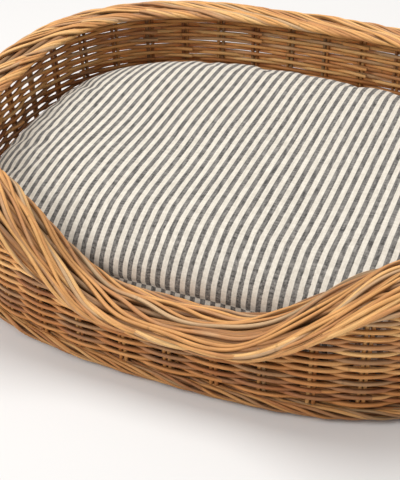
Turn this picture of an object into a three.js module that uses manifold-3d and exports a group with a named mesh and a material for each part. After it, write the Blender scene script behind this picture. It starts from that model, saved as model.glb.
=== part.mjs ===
// A woven rattan pet bed: an oval basket with a low entrance in its front rim, and a striped
// cushion that lifts out. Millimetres, +Z up, +X along the long side, the entrance towards -Y,
// origin at the centre of the footprint on the floor.
import * as THREE from 'three';
import Module from 'manifold-3d';

// --- Driving dimensions -------------------------------------------------------------------

// Foot outline: a squared oval, |x/a|^n + |y/b|^n = 1
const FOOT_HALF_LENGTH = 302;
const FOOT_HALF_WIDTH = 246;
const OUTLINE_POWER = 2.735;
const WALL_FLARE = 0.07;            // how far the wall leans out for each mm of height

// Rim border: a wide flat roll whose inner edge is a little higher than its outer edge
const RIM_HEIGHT = 153;
const ENTRANCE_HEIGHT = 75;
const ENTRANCE_HALF_WIDTH = 52;     // the level stretch of the entrance, each side of centre
const ENTRANCE_SLOPE_LENGTH = 159;  // from there to the full height, along the wall
const RIM_HALF_WIDTH = 27;
const RIM_HALF_THICKNESS = 11;
const RIM_TILT = THREE.MathUtils.degToRad(9);
const RIM_INSET = 24;               // the roll's centre, inside the foot outline
const RIM_SIDES = 8;

// Foot border: the plaited roll that the basket stands on
const FOOT_HEIGHT = 19;
const FOOT_WIDTH = 17;
const FOOT_CHAMFER = 4;

// Stakes: doubled canes; two neighbouring pairs are one bent frame
const STAKE_COUNT = 42;
const CANE_DIAMETER = 4.6;
const CANE_SPACING = 0.2;           // between the two canes of a pair
const STAKE_INSET = 9;              // the stakes' centre line, inside the foot outline
const STAKE_FOOT_RUN = 5;           // height of the run that joins the two pairs

// Weave: courses of rods, in front of one stake and behind the next
const COURSE_COUNT = 12;
const WEAVER_THICKNESS = 3.8;
const WEAVE_CORNER_ALLOWANCE = 0.7; // extra room where the wall curves most

// Base: a woven mat on sticks, inside the foot border
const BASE_STICK_COUNT = 9;
const BASE_STICK_PITCH = 52;
const BASE_STICK_DIAMETER = 5;
const BASE_STICK_SIDES = 8;
const BASE_UNDERSIDE = 3.3;         // the sticks' lowest point above the floor
const BASE_MAT_THICKNESS = 4.7;

// Cushion: two cover panels, the filling, and a zip in the lower panel
const CUSHION_CLEARANCE = 0.6;      // from its edge to the rim's inner edge at the entrance
const CUSHION_SEAM_HEIGHT = 47;     // above the base mat
const CUSHION_CROWN_HEIGHT = 101;
const COVER_THICKNESS = 3;
const ZIP_LENGTH = 300;
const ZIP_WIDTH = 14;
const ZIP_TAPE_THICKNESS = 0.8;
const SLIDER_LENGTH = 14;
const SLIDER_WIDTH = 8;
const SLIDER_THICKNESS = 1.5;
const SLIDER_TAB_LENGTH = 13;
const SLIDER_TAB_WIDTH = 5;

// Clearances and fineness
const GAP = 0.3;                    // between pieces that touch
const RIM_SEAT_GAP = 0.5;           // under the rim border, whose underside is faceted
const RIM_TWIST_MARGIN = 1;         // along the wall, where the border slopes
const PAD_GAP = 0.5;                // between the filling and its cover
const OUTLINE_STEPS = 2520;
const CUSHION_SIDES = 36;

// --- Materials ----------------------------------------------------------------------------

const honeyRattan = () => new THREE.MeshStandardMaterial({ color: 0xc8985c, roughness: 0.55, metalness: 0 });
const darkRattan = () => new THREE.MeshStandardMaterial({ color: 0xb07f48, roughness: 0.6, metalness: 0 });
const stripedCotton = () => new THREE.MeshStandardMaterial({ color: 0xb4aca2, roughness: 0.95, metalness: 0 });
const whiteWadding = () => new THREE.MeshStandardMaterial({ color: 0xf2f0ea, roughness: 1, metalness: 0 });
const zipNylon = () => new THREE.MeshStandardMaterial({ color: 0xe4dccb, roughness: 0.6, metalness: 0 });
const zipMetal = () => new THREE.MeshStandardMaterial({ color: 0x9a958c, roughness: 0.35, metalness: 1 });

const basket = new THREE.Group();

function addPiece(name, geometry, material) {
  const mesh = new THREE.Mesh(geometry, material);
  mesh.name = name;
  basket.add(mesh);
  return mesh;
}

const numbered = (name, index) => `${name}_${String(index + 1).padStart(2, '0')}`;

// --- The foot outline, by distance along it from the front centre -----------------------------

function outlinePoint(turn) {
  const across = Math.sin(turn);
  const ahead = Math.cos(turn);
  const power = 2 / OUTLINE_POWER;
  return new THREE.Vector2(
    FOOT_HALF_LENGTH * Math.sign(across) * Math.abs(across) ** power,
    -FOOT_HALF_WIDTH * Math.sign(ahead) * Math.abs(ahead) ** power,
  );
}

const outline = [];
let perimeter = 0;
for (let step = 0; step <= OUTLINE_STEPS; step++) {
  const point = outlinePoint((step / OUTLINE_STEPS) * 2 * Math.PI);
  if (step > 0) perimeter += point.distanceTo(outline[step - 1].point);
  outline.push({ point, distance: perimeter });
}

// The outline's point at a distance, moved outwards by an offset
function wallPoint(distance, offset) {
  const wrapped = THREE.MathUtils.euclideanModulo(distance, perimeter);
  let low = 0;
  let high = OUTLINE_STEPS;
  while (high - low > 1) {
    const middle = (low + high) >> 1;
    if (outline[middle].distance > wrapped) high = middle;
    else low = middle;
  }
  const from = outline[low];
  const to = outline[high];
  const share = (wrapped - from.distance) / (to.distance - from.distance);
  const along = to.point.clone().sub(from.point).normalize();
  return from.point.clone().lerp(to.point, share).add(new THREE.Vector2(along.y, -along.x).multiplyScalar(offset));
}

// A closed line of points round the outline
function outlineLoop(offset, count) {
  return Array.from({ length: count }, (_, index) => wallPoint((index / count) * perimeter, offset));
}

const stakeSpacing = perimeter / STAKE_COUNT;
const stakeWidth = 2 * CANE_DIAMETER + CANE_SPACING;
const stakeOffset = (height) => -STAKE_INSET + WALL_FLARE * height;

// --- Rim border ---------------------------------------------------------------------------------

const rimSectionCount = 2 * STAKE_COUNT;
const rimRise = Math.hypot(RIM_HALF_WIDTH * Math.sin(RIM_TILT), RIM_HALF_THICKNESS * Math.cos(RIM_TILT));

// Height of the rim's top at each section: low and level at the entrance, then a smooth rise
function rimTopAtSection(index) {
  const distance = (index / rimSectionCount) * perimeter;
  const fromCentre = Math.min(distance, perimeter - distance);
  const rise = THREE.MathUtils.smoothstep(fromCentre, ENTRANCE_HALF_WIDTH, ENTRANCE_HALF_WIDTH + ENTRANCE_SLOPE_LENGTH);
  return THREE.MathUtils.lerp(ENTRANCE_HEIGHT, RIM_HEIGHT, rise);
}

// Between two sections the rim is straight
function rimTop(distance) {
  const place = (THREE.MathUtils.euclideanModulo(distance, perimeter) / perimeter) * rimSectionCount;
  const index = Math.floor(place);
  return THREE.MathUtils.lerp(rimTopAtSection(index), rimTopAtSection((index + 1) % rimSectionCount), place - index);
}

// The roll's section, as offsets outwards and up from its centre
const rimSection = Array.from({ length: RIM_SIDES }, (_, side) => {
  const turn = ((side + 0.5) / RIM_SIDES) * 2 * Math.PI;
  return new THREE.Vector2(RIM_HALF_WIDTH * Math.cos(turn), RIM_HALF_THICKNESS * Math.sin(turn))
    .rotateAround(new THREE.Vector2(), -RIM_TILT);
});

const rimOffset = (top) => -RIM_INSET + WALL_FLARE * top;

// Height of the roll's underside above a point that is `outwards` from its centre
function sectionBottom(outwards) {
  let lowest = 0;
  rimSection.forEach((corner, side) => {
    const next = rimSection[(side + 1) % RIM_SIDES];
    const share = (outwards - corner.x) / (next.x - corner.x);
    if (share >= 0 && share <= 1) lowest = Math.min(lowest, THREE.MathUtils.lerp(corner.y, next.y, share));
  });
  return lowest;
}

// The lowest the border reaches over a band of the wall `reach` wide on both sides of the stakes,
// a little either side of the distance too, because its surface is twisted where it slopes
function rimUnderside(distance, reach) {
  const bottoms = [distance - RIM_TWIST_MARGIN, distance, distance + RIM_TWIST_MARGIN].map((place) => {
    const top = rimTop(place);
    const centre = top - rimRise;
    const stakes = stakeOffset(centre) - rimOffset(top);
    return centre + Math.min(sectionBottom(stakes - reach), sectionBottom(stakes), sectionBottom(stakes + reach));
  });
  return Math.min(...bottoms);
}

function closedSweep(sections) {
  const sides = sections[0].length;
  const indices = [];
  sections.forEach((_, index) => {
    const here = index * sides;
    const next = ((index + 1) % sections.length) * sides;
    for (let side = 0; side < sides; side++) {
      const other = (side + 1) % sides;
      indices.push(here + side, next + side, next + other, here + side, next + other, here + other);
    }
  });
  const geometry = new THREE.BufferGeometry().setFromPoints(sections.flat());
  geometry.setIndex(indices);
  geometry.computeVertexNormals();
  return geometry;
}

const rimSections = Array.from({ length: rimSectionCount }, (_, index) => {
  const distance = (index / rimSectionCount) * perimeter;
  const top = rimTopAtSection(index);
  return rimSection.map((corner) => {
    const flat = wallPoint(distance, rimOffset(top) + corner.x);
    return new THREE.Vector3(flat.x, flat.y, top - rimRise + corner.y);
  });
});
addPiece('rim_border', closedSweep(rimSections), honeyRattan());

// --- Foot border --------------------------------------------------------------------------------

function ringShape(outer, inner) {
  const shape = new THREE.Shape(outer);
  shape.holes.push(new THREE.Path(inner));
  return shape;
}

const footGeometry = new THREE.ExtrudeGeometry(
  ringShape(outlineLoop(0, rimSectionCount), outlineLoop(-FOOT_WIDTH, rimSectionCount)),
  {
    depth: FOOT_HEIGHT - 2 * FOOT_CHAMFER,
    bevelThickness: FOOT_CHAMFER,
    bevelSize: FOOT_CHAMFER,
    bevelOffset: -FOOT_CHAMFER,
    bevelSegments: 1,
  },
);
footGeometry.translate(0, 0, FOOT_CHAMFER);
addPiece('foot_border', footGeometry, darkRattan());

// --- Stake frames -------------------------------------------------------------------------------

// A flat U of cane, drawn as distance along the wall and height, then laid on the leaning wall
function stakeFrame(firstStake) {
  const bottom = FOOT_HEIGHT + GAP;
  const runTop = bottom + STAKE_FOOT_RUN;
  const legs = [firstStake * stakeSpacing, (firstStake + 1) * stakeSpacing];
  const top = (distance) => rimUnderside(distance, CANE_DIAMETER / 2) - RIM_SEAT_GAP;
  const [leftOuter, leftInner] = [legs[0] - stakeWidth / 2, legs[0] + stakeWidth / 2];
  const [rightInner, rightOuter] = [legs[1] - stakeWidth / 2, legs[1] + stakeWidth / 2];
  const outlineOfU = [
    [leftOuter, bottom],
    [rightOuter, bottom],
    [rightOuter, top(rightOuter)],
    [rightInner, top(rightInner)],
    [rightInner, runTop],
    [leftInner, runTop],
    [leftInner, top(leftInner)],
    [leftOuter, top(leftOuter)],
  ];
  const geometry = new THREE.ExtrudeGeometry(
    new THREE.Shape(outlineOfU.map(([x, y]) => new THREE.Vector2(x, y))),
    { depth: CANE_DIAMETER, bevelEnabled: false },
  );
  const position = geometry.getAttribute('position');
  for (let index = 0; index < position.count; index++) {
    const height = position.getY(index);
    const inwards = CANE_DIAMETER / 2 - position.getZ(index);
    const flat = wallPoint(position.getX(index), stakeOffset(height) - inwards);
    position.setXYZ(index, flat.x, flat.y, height);
  }
  geometry.computeVertexNormals();
  return geometry;
}

for (let frame = 0; frame < STAKE_COUNT / 2; frame++) {
  addPiece(numbered('stake_frame', frame), stakeFrame(2 * frame), darkRattan());
}

// --- Weave courses ------------------------------------------------------------------------------

const weaveFloor = FOOT_HEIGHT + GAP + STAKE_FOOT_RUN + GAP;
const weaveSlope = stakeWidth / stakeSpacing;
const weaveSwing = (CANE_DIAMETER / 2 + WEAVER_THICKNESS / 2 + GAP + WEAVE_CORNER_ALLOWANCE) / (1 - weaveSlope);
const weaveReach = weaveSwing + WEAVER_THICKNESS / 2;
const weaveTop = rimUnderside(perimeter / 2, weaveReach) - RIM_SEAT_GAP - GAP;
const coursePitch = (weaveTop - weaveFloor) / COURSE_COUNT;
const courseHeight = coursePitch - GAP;

// Where the weaver lies at a distance: out over one stake, in behind the next, straight between
function weaveOffset(distance, course) {
  const place = distance / stakeSpacing;
  const stake = Math.floor(place);
  const side = (stake + course) % 2 === 0 ? 1 : -1;
  return weaveSwing * THREE.MathUtils.lerp(side, -side, place - stake);
}

// How far round from the entrance a course has to turn back, or 0 if it passes under the border
function turningDistance(topOfCourse) {
  const step = stakeSpacing / 100;
  let distance = perimeter / 2;
  while (distance > 0 && rimUnderside(distance, weaveReach) - RIM_SEAT_GAP >= topOfCourse) distance -= step;
  return distance > 0 ? distance + step : 0;
}

for (let course = 0; course < COURSE_COUNT; course++) {
  const bottom = weaveFloor + course * coursePitch;
  const middleOffset = stakeOffset(bottom + courseHeight / 2);
  const turn = turningDistance(bottom + courseHeight);
  const stations = Array.from({ length: STAKE_COUNT }, (_, stake) => stake * stakeSpacing)
    .filter((distance) => turn === 0 || (distance > turn && distance < perimeter - turn));
  if (turn > 0) {
    stations.unshift(turn);
    stations.push(perimeter - turn);
  }
  const face = (side) => stations.map((distance) => wallPoint(
    distance,
    middleOffset + weaveOffset(distance, course) + (side * WEAVER_THICKNESS) / 2,
  ));
  const shape = turn === 0
    ? ringShape(face(1), face(-1))
    : new THREE.Shape([...face(1), ...face(-1).reverse()]);
  const geometry = new THREE.ExtrudeGeometry(shape, { depth: courseHeight, bevelEnabled: false });
  geometry.translate(0, 0, bottom);
  addPiece(numbered('weave_course', course), geometry, honeyRattan());
}

// --- Base ---------------------------------------------------------------------------------------

const baseInset = FOOT_WIDTH + GAP;
const matUnderside = BASE_UNDERSIDE + BASE_STICK_DIAMETER + GAP;
const matTop = matUnderside + BASE_MAT_THICKNESS;

const baseLoop = outlineLoop(-baseInset, rimSectionCount);
const matGeometry = new THREE.ExtrudeGeometry(new THREE.Shape(baseLoop), {
  depth: BASE_MAT_THICKNESS,
  bevelEnabled: false,
});
matGeometry.translate(0, 0, matUnderside);
addPiece('base_mat', matGeometry, honeyRattan());

// Half the room across the base at x, inside the foot border
function baseHalfWidth(x) {
  let half = FOOT_HALF_WIDTH;
  baseLoop.forEach((corner, index) => {
    const next = baseLoop[(index + 1) % baseLoop.length];
    const share = (x - corner.x) / (next.x - corner.x);
    if (share >= 0 && share <= 1) half = Math.min(half, Math.abs(THREE.MathUtils.lerp(corner.y, next.y, share)));
  });
  return half;
}

for (let stick = 0; stick < BASE_STICK_COUNT; stick++) {
  const x = (stick - (BASE_STICK_COUNT - 1) / 2) * BASE_STICK_PITCH;
  const radius = BASE_STICK_DIAMETER / 2;
  const half = Math.min(baseHalfWidth(x - radius), baseHalfWidth(x + radius));
  const geometry = new THREE.CylinderGeometry(radius, radius, 2 * half, BASE_STICK_SIDES);
  geometry.translate(x, 0, BASE_UNDERSIDE + radius);
  addPiece(numbered('base_stick', stick), geometry, darkRattan());
}

// --- Cushion ------------------------------------------------------------------------------------

// A closed profile of [share of the way out to the edge, height], spun to the cushion's outline
function cushionSolid(profile) {
  const points = profile.map(([share, height]) => new THREE.Vector2(share, height));
  const geometry = new THREE.LatheGeometry(points, CUSHION_SIDES);
  const position = geometry.getAttribute('position');
  for (let index = 0; index < position.count; index++) {
    const [across, height, ahead] = [position.getX(index), position.getY(index), position.getZ(index)];
    const share = Math.hypot(across, ahead);
    const turn = share > 0 ? Math.atan2(across, -ahead) : 0;
    const edge = wallPoint((-turn / (2 * Math.PI)) * perimeter, cushionOffset);
    position.setXYZ(index, share * edge.x, share * edge.y, height);
  }
  geometry.computeVertexNormals();
  return geometry;
}

const rimInnerEdge = rimOffset(ENTRANCE_HEIGHT) - RIM_HALF_WIDTH * Math.cos(RIM_TILT);
const cushionOffset = rimInnerEdge - CUSHION_CLEARANCE;
const cushionFloor = matTop + GAP;
const seam = matTop + CUSHION_SEAM_HEIGHT;
const crown = matTop + CUSHION_CROWN_HEIGHT;
const edgeRadius = FOOT_HALF_WIDTH + cushionOffset;
const inward = (thickness) => thickness / edgeRadius;

// How the two panels curve, as [share out, share of the height from seam to crown or floor]
const CROWN_CURVE = [[1, 0], [0.985, 0.22], [0.93, 0.46], [0.8, 0.72], [0.58, 0.9], [0.3, 0.98], [0, 1]];
const FLOOR_CURVE = [[1, 0], [0.985, 0.5], [0.94, 0.88], [0.9, 1], [0, 1]];

// One side of a panel, `depth` under its outer face, from the seam to the middle
function panelCurve(curve, from, to, depth) {
  const height = to - from - Math.sign(to - from) * depth;
  return curve.map(([share, rise]) => [share * (1 - inward(depth)), from + rise * height]);
}

const topSeam = seam + GAP / 2;
const floorSeam = seam - GAP / 2;
addPiece('cover_top', cushionSolid([
  ...panelCurve(CROWN_CURVE, topSeam, crown, COVER_THICKNESS).reverse(),
  ...panelCurve(CROWN_CURVE, topSeam, crown, 0),
]), stripedCotton());

const padDepth = COVER_THICKNESS + PAD_GAP;
addPiece('cushion_pad', cushionSolid([
  ...panelCurve(CROWN_CURVE, topSeam, crown, padDepth).reverse(),
  ...panelCurve(FLOOR_CURVE, floorSeam, cushionFloor, padDepth),
].reverse()), whiteWadding());

// --- Lower cover panel and its zip ------------------------------------------------------------

const wasm = await Module();
wasm.setup();

function toSolid(geometry) {
  const position = geometry.getAttribute('position');
  const places = new Map();
  const vertices = [];
  const triangles = [];
  const order = geometry.index ? Array.from(geometry.index.array) : Array.from({ length: position.count }, (_, i) => i);
  const corner = (index) => {
    const point = [position.getX(index), position.getY(index), position.getZ(index)];
    const key = point.map((value) => Math.round(value * 1000)).join();
    if (!places.has(key)) {
      places.set(key, vertices.length / 3);
      vertices.push(...point);
    }
    return places.get(key);
  };
  for (let index = 0; index < order.length; index += 3) {
    const triangle = [corner(order[index]), corner(order[index + 1]), corner(order[index + 2])];
    if (new Set(triangle).size === 3) triangles.push(...triangle);
  }
  return new wasm.Manifold(new wasm.Mesh({
    numProp: 3,
    vertProperties: new Float32Array(vertices),
    triVerts: new Uint32Array(triangles),
  }));
}

function toGeometry(solid) {
  const mesh = solid.getMesh();
  const geometry = new THREE.BufferGeometry();
  geometry.setAttribute('position', new THREE.BufferAttribute(mesh.vertProperties, 3));
  geometry.setIndex(new THREE.BufferAttribute(mesh.triVerts, 1));
  return geometry.toNonIndexed();
}

const lowerPanel = cushionSolid([
  ...panelCurve(FLOOR_CURVE, floorSeam, cushionFloor, 0).reverse(),
  ...panelCurve(FLOOR_CURVE, floorSeam, cushionFloor, COVER_THICKNESS),
]);
const zipSlot = new THREE.BoxGeometry(ZIP_LENGTH, ZIP_WIDTH, 4 * COVER_THICKNESS);
zipSlot.translate(0, 0, cushionFloor + COVER_THICKNESS / 2);
addPiece('cover_base', toGeometry(toSolid(lowerPanel).subtract(toSolid(zipSlot))), stripedCotton());

const zipTape = new THREE.BoxGeometry(ZIP_LENGTH - 2 * GAP, ZIP_WIDTH - 2 * GAP, ZIP_TAPE_THICKNESS);
const tapeUnderside = cushionFloor + COVER_THICKNESS - ZIP_TAPE_THICKNESS;
zipTape.translate(0, 0, tapeUnderside + ZIP_TAPE_THICKNESS / 2);
addPiece('zip_tape', zipTape, zipNylon());

// The slider: a tapered body with a pull tab, flat in the slot at the closed end of the zip
const tabEnd = SLIDER_LENGTH + SLIDER_TAB_LENGTH;
const sliderShape = new THREE.Shape([
  [0, -SLIDER_WIDTH / 2],
  [SLIDER_LENGTH * 0.6, -SLIDER_WIDTH / 2],
  [SLIDER_LENGTH, -SLIDER_TAB_WIDTH / 2],
  [tabEnd, -SLIDER_TAB_WIDTH / 2],
  [tabEnd, SLIDER_TAB_WIDTH / 2],
  [SLIDER_LENGTH, SLIDER_TAB_WIDTH / 2],
  [SLIDER_LENGTH * 0.6, SLIDER_WIDTH / 2],
  [0, SLIDER_WIDTH / 2],
].map(([x, y]) => new THREE.Vector2(x, y)));
const tabHole = new THREE.Path();
tabHole.absarc(tabEnd - SLIDER_TAB_WIDTH / 2, 0, SLIDER_TAB_WIDTH / 4, 0, 2 * Math.PI);
sliderShape.holes.push(tabHole);
const sliderGeometry = new THREE.ExtrudeGeometry(sliderShape, {
  depth: SLIDER_THICKNESS,
  bevelEnabled: false,
  curveSegments: 8,
});
sliderGeometry.translate(-ZIP_LENGTH / 2 + 1, 0, tapeUnderside - GAP - SLIDER_THICKNESS);
addPiece('zip_slider', sliderGeometry, zipMetal());

export default basket;
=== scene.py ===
import bpy
import bmesh
import math
import random
import numpy as np
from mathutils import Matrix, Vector


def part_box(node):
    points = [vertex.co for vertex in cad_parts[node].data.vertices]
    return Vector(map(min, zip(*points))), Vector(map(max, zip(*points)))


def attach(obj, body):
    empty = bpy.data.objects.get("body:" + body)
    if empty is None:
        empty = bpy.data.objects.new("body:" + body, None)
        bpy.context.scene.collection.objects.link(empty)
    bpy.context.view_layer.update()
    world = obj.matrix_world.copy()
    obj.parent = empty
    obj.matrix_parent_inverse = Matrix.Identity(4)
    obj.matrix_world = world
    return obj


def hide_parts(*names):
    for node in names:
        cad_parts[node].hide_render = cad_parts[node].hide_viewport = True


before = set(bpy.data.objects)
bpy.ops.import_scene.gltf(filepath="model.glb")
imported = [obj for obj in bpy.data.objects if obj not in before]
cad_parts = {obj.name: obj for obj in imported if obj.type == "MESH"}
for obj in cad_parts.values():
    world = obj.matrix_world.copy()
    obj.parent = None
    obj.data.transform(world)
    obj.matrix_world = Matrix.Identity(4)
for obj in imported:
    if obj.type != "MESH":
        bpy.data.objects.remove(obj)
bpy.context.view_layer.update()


# ---------------------------------------------------------------- camera
# Someone standing over the front right of the bed looks down past the entrance, close
# enough that the right-hand third of the basket runs out of sight.
CAMERA_PLACE = Vector((0.27696, -0.86167, 0.66186))
CAMERA_SIGHT = Vector((-0.29570, 0.74829, -0.59383))
camera = bpy.data.objects.new("camera", bpy.data.cameras.new("camera"))
camera.data.lens = 78.83
camera.data.sensor_width = 36.0
camera.location = CAMERA_PLACE
camera.rotation_euler = CAMERA_SIGHT.to_track_quat("-Z", "Y").to_euler()
bpy.context.collection.objects.link(camera)
bpy.context.scene.camera = camera
bpy.context.scene.view_settings.view_transform = "Standard"


# ---------------------------------------------------------------- base sticks
# Nine straight canes lie front to back through the base. They are the ribs that it is woven
# on, and their ends are held inside the foot border.
MM = 0.001


def wire(tree, source, output, target, name):
    tree.links.new(source.outputs[output], target.inputs[name])


def sums_in(tree):
    """A short way to add, multiply or compare values in one material tree."""

    def number(operation, a, b=0.0):
        node = tree.nodes.new("ShaderNodeMath")
        node.operation = operation
        for slot, value in enumerate((a, b)):
            if isinstance(value, (int, float)):
                node.inputs[slot].default_value = value
            else:
                tree.links.new(value, node.inputs[slot])
        return node.outputs[0]

    return number


def make_cane_skin():
    """Colour, roughness and fibre relief of one peeled cane, from its own shade and length, and painted
    crevice shade.
    """
    tree = bpy.data.node_groups.new("cane skin", "ShaderNodeTree")
    for name, kind in (
        ("Grey", "NodeSocketColor"),
        ("Brown", "NodeSocketColor"),
        ("Honey", "NodeSocketColor"),
        ("Straw", "NodeSocketColor"),
        ("Streaks", "NodeSocketFloat"),
    ):
        tree.interface.new_socket(name, in_out="INPUT", socket_type=kind)
    tree.interface.new_socket("Color", in_out="OUTPUT", socket_type="NodeSocketColor")
    tree.interface.new_socket("Roughness", in_out="OUTPUT", socket_type="NodeSocketFloat")
    tree.interface.new_socket("Relief", in_out="OUTPUT", socket_type="NodeSocketFloat")
    new = tree.nodes.new
    given, result = new("NodeGroupInput"), new("NodeGroupOutput")

    number = sums_in(tree)

    def attribute(name):
        node = new("ShaderNodeAttribute")
        node.attribute_name = name
        return node

    shade = attribute("shade").outputs["Fac"]
    along = attribute("along").outputs["Fac"]
    around = attribute("around").outputs["Vector"]

    # a place on the cane: length along it, and the direction around it
    spread = new("ShaderNodeCombineXYZ")
    tree.links.new(along, spread.inputs["X"])
    tree.links.new(number("MULTIPLY", shade, 37.0), spread.inputs["Y"])
    patches = new("ShaderNodeTexNoise")
    patches.inputs["Scale"].default_value = 28.0
    patches.inputs["Detail"].default_value = 3.0
    tree.links.new(spread.outputs[0], patches.inputs["Vector"])

    fibre_place = new("ShaderNodeVectorMath")
    fibre_place.operation = "SCALE"
    tree.links.new(around, fibre_place.inputs[0])
    fibre_place.inputs["Scale"].default_value = 1.6
    fibre_split = new("ShaderNodeSeparateXYZ")
    tree.links.new(fibre_place.outputs[0], fibre_split.inputs[0])
    fibre_join = new("ShaderNodeCombineXYZ")
    tree.links.new(fibre_split.outputs["X"], fibre_join.inputs["X"])
    tree.links.new(fibre_split.outputs["Y"], fibre_join.inputs["Y"])
    lengthwise = number("MULTIPLY", along, 9.0)
    tree.links.new(number("ADD", lengthwise, number("MULTIPLY", shade, 61.0)), fibre_join.inputs["Z"])
    fibres = new("ShaderNodeTexNoise")
    fibres.inputs["Scale"].default_value = 5.5
    fibres.inputs["Detail"].default_value = 5.0
    fibres.inputs["Roughness"].default_value = 0.62
    tree.links.new(fibre_join.outputs[0], fibres.inputs["Vector"])

    # the joints of the cane: a thin darker ring every so often
    joint_spacing, joint_share = 0.43, 0.0026
    joint_start = number("MULTIPLY", shade, 13.0)
    joint_phase = number("FRACT", number("ADD", number("DIVIDE", along, joint_spacing), joint_start))
    from_joint = number("ABSOLUTE", number("SUBTRACT", joint_phase, 0.5))
    joint = number("LESS_THAN", from_joint, joint_share)

    # each cane has a shade of its own, from weathered grey to fresh straw, and drifts about it
    patch = number("MULTIPLY", number("SUBTRACT", patches.outputs["Fac"], 0.5), 0.75)
    mixed = number("ADD", shade, patch)
    colour = given.outputs["Grey"]
    for name, begins, ends in (("Brown", 0.0, 0.3), ("Honey", 0.25, 0.6), ("Straw", 0.65, 1.0)):
        ramp = new("ShaderNodeMapRange")
        ramp.inputs["From Min"].default_value = begins
        ramp.inputs["From Max"].default_value = ends
        tree.links.new(mixed, ramp.inputs["Value"])
        blend = new("ShaderNodeMix")
        blend.data_type = "RGBA"
        tree.links.new(ramp.outputs[0], blend.inputs["Factor"])
        tree.links.new(colour, blend.inputs[6])
        tree.links.new(given.outputs[name], blend.inputs[7])
        colour = blend.outputs[2]

    # fibres darken the colour in lengthwise streaks, and the joint rings are burnt brown
    streak = number("MULTIPLY", number("SUBTRACT", fibres.outputs["Fac"], 0.5), given.outputs["Streaks"])
    bright = number("SUBTRACT", number("ADD", 1.0, streak), number("MULTIPLY", joint, 0.2))
    # painted shade: the crevices are painted darker, by how far the surface turns from the cane's open
    # side, and a cane with a shorter facing arrow is painted darker all over, for lying deep; this adds
    # to the shade that the light leaves there
    crown = new("ShaderNodeVectorMath")
    crown.operation = "DOT_PRODUCT"
    tree.links.new(attribute("facing").outputs["Vector"], crown.inputs[0])
    tree.links.new(new("ShaderNodeNewGeometry").outputs["Normal"], crown.inputs[1])
    crevice_shade = new("ShaderNodeMapRange")
    crevice_shade.inputs["From Max"].default_value = 0.8
    crevice_shade.inputs["To Min"].default_value = 0.34
    crevice_shade.inputs["To Max"].default_value = 1.06
    tree.links.new(number("ABSOLUTE", crown.outputs["Value"]), crevice_shade.inputs["Value"])
    bright = number("MULTIPLY", bright, crevice_shade.outputs[0])
    paint = new("ShaderNodeVectorMath")
    paint.operation = "SCALE"
    tree.links.new(colour, paint.inputs[0])
    tree.links.new(bright, paint.inputs["Scale"])
    tree.links.new(paint.outputs[0], result.inputs["Color"])
    rough = number("ADD", 0.42, number("MULTIPLY", fibres.outputs["Fac"], 0.22))
    tree.links.new(rough, result.inputs["Roughness"])
    relief = number("ADD", fibres.outputs["Fac"], number("MULTIPLY", joint, 0.8))
    tree.links.new(relief, result.inputs["Relief"])
    return tree


cane_skin = make_cane_skin()


def make_cane_finish(name, grey, brown, honey, straw, streaks):
    finish = bpy.data.materials.new(name)
    finish.use_nodes = True
    tree = finish.node_tree
    shader = tree.nodes["Principled BSDF"]
    skin = tree.nodes.new("ShaderNodeGroup")
    skin.node_tree = cane_skin
    for socket, colour in (("Grey", grey), ("Brown", brown), ("Honey", honey), ("Straw", straw)):
        skin.inputs[socket].default_value = (*colour, 1.0)
    skin.inputs["Streaks"].default_value = streaks
    bump = tree.nodes.new("ShaderNodeBump")
    bump.inputs["Strength"].default_value = 0.6
    bump.inputs["Distance"].default_value = 0.4 * MM
    wire(tree, skin, "Color", shader, "Base Color")
    wire(tree, skin, "Roughness", shader, "Roughness")
    wire(tree, skin, "Relief", bump, "Height")
    wire(tree, bump, "Normal", shader, "Normal")
    shader.inputs["Specular IOR Level"].default_value = 0.42
    return finish


brown_rattan = make_cane_finish(
    "brown rattan",
    grey=(0.36, 0.22, 0.105),
    brown=(0.36, 0.135, 0.042),
    honey=(0.52, 0.235, 0.070),
    straw=(0.62, 0.34, 0.125),
    streaks=1.8,
)


def make_cane_tree():
    """Bends a round cane, with its own thickness, along every line of a mesh."""
    tree = bpy.data.node_groups.new("bent canes", "GeometryNodeTree")
    face = tree.interface
    face.new_socket("Geometry", in_out="INPUT", socket_type="NodeSocketGeometry")
    sides = face.new_socket("Sides", in_out="INPUT", socket_type="NodeSocketInt")
    finish = face.new_socket("Finish", in_out="INPUT", socket_type="NodeSocketMaterial")
    face.new_socket("Geometry", in_out="OUTPUT", socket_type="NodeSocketGeometry")
    new = tree.nodes.new
    given, result = new("NodeGroupInput"), new("NodeGroupOutput")
    lines = new("GeometryNodeMeshToCurve")
    section = new("GeometryNodeCurvePrimitiveCircle")
    section.inputs["Radius"].default_value = 1.0
    place = new("GeometryNodeInputPosition")
    around = new("GeometryNodeStoreNamedAttribute")
    around.data_type = "FLOAT_VECTOR"
    around.inputs["Name"].default_value = "around"
    thickness = new("GeometryNodeInputNamedAttribute")
    thickness.data_type = "FLOAT"
    thickness.inputs["Name"].default_value = "radius_m"
    sweep = new("GeometryNodeCurveToMesh")
    sweep.inputs["Fill Caps"].default_value = True
    whole = new("GeometryNodeRealizeInstances")
    painted = new("GeometryNodeSetMaterial")
    wire(tree, given, "Geometry", lines, "Mesh")
    wire(tree, given, "Sides", section, "Resolution")
    wire(tree, section, "Curve", around, "Geometry")
    wire(tree, place, "Position", around, "Value")
    wire(tree, lines, "Curve", sweep, "Curve")
    wire(tree, around, "Geometry", sweep, "Profile Curve")
    wire(tree, thickness, "Attribute", sweep, "Scale")
    wire(tree, sweep, "Mesh", whole, "Geometry")
    wire(tree, whole, "Geometry", painted, "Geometry")
    wire(tree, given, "Finish", painted, "Material")
    wire(tree, painted, "Geometry", result, "Geometry")
    return tree, sides.identifier, finish.identifier


cane_tree, cane_sides, cane_finish = make_cane_tree()


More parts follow.
